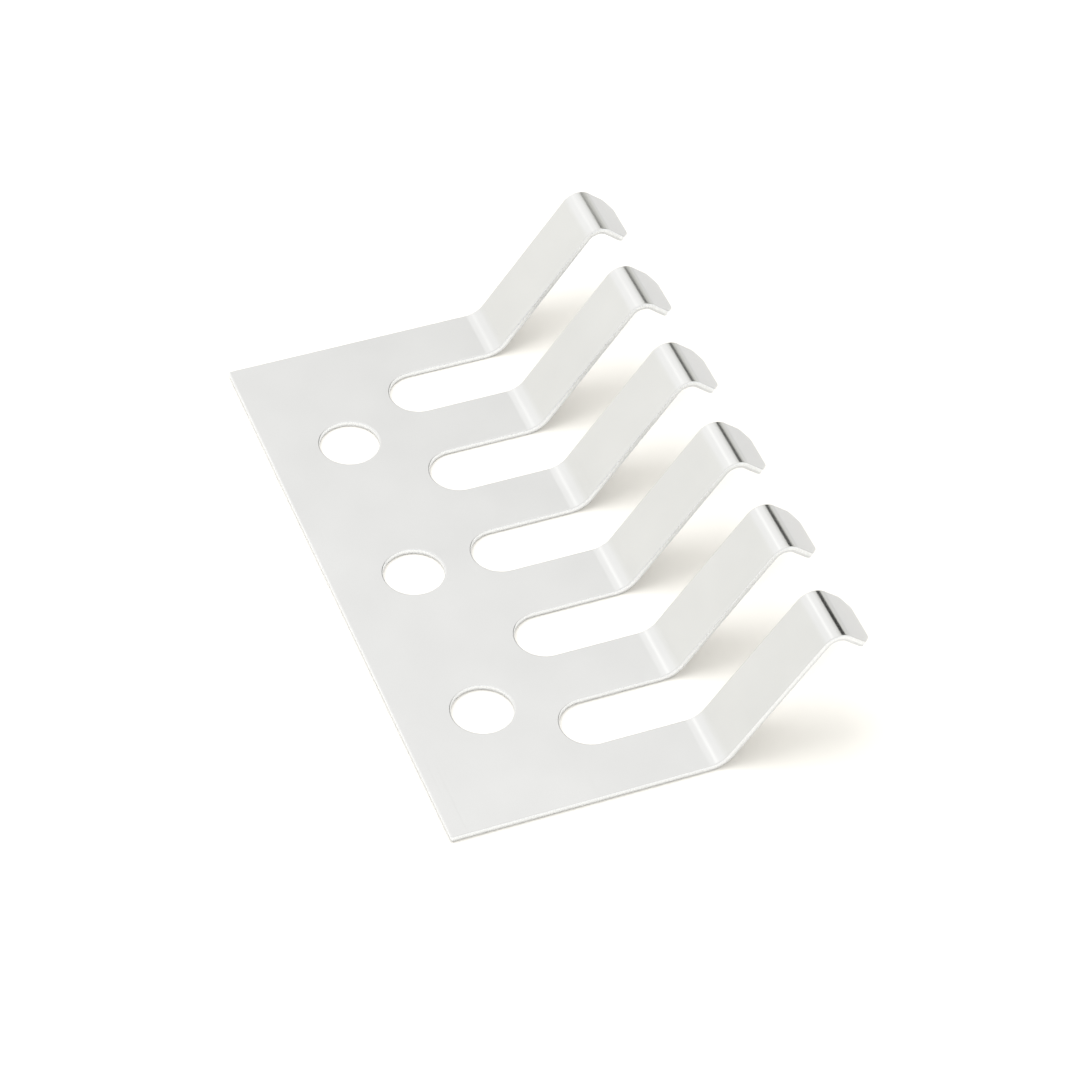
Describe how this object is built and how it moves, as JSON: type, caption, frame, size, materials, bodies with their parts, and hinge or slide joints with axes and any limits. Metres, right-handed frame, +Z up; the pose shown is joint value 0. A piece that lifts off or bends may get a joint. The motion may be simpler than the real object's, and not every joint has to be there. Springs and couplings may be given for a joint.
{
  "type": "wall hook rack",
  "caption": "Flat sheet metal wall plate with fixing holes and a row of integral strip hooks, each bent up and out with its tip turned down.",
  "frame": {"origin": "centre of the middle fixing hole, on the back face that lies against the wall", "axes": "+X along the hooks to their tips (up, when the rack is fixed to a wall), +Y along the row of hooks, +Z out of the wall; lying flat on a table, +Z is up"},
  "size_m": [0.0698, 0.1106, 0.024],
  "materials": {
    "sheet_steel": "smooth bright rolled sheet, satin on the flats and shinier on the bends"
  },
  "bodies": {
    "root": {"back_plate": "sheet_steel", "hook_1": "sheet_steel", "hook_2": "sheet_steel", "hook_3": "sheet_steel", "hook_4": "sheet_steel", "hook_5": "sheet_steel", "hook_6": "sheet_steel"}
  },
  "joints": []
}
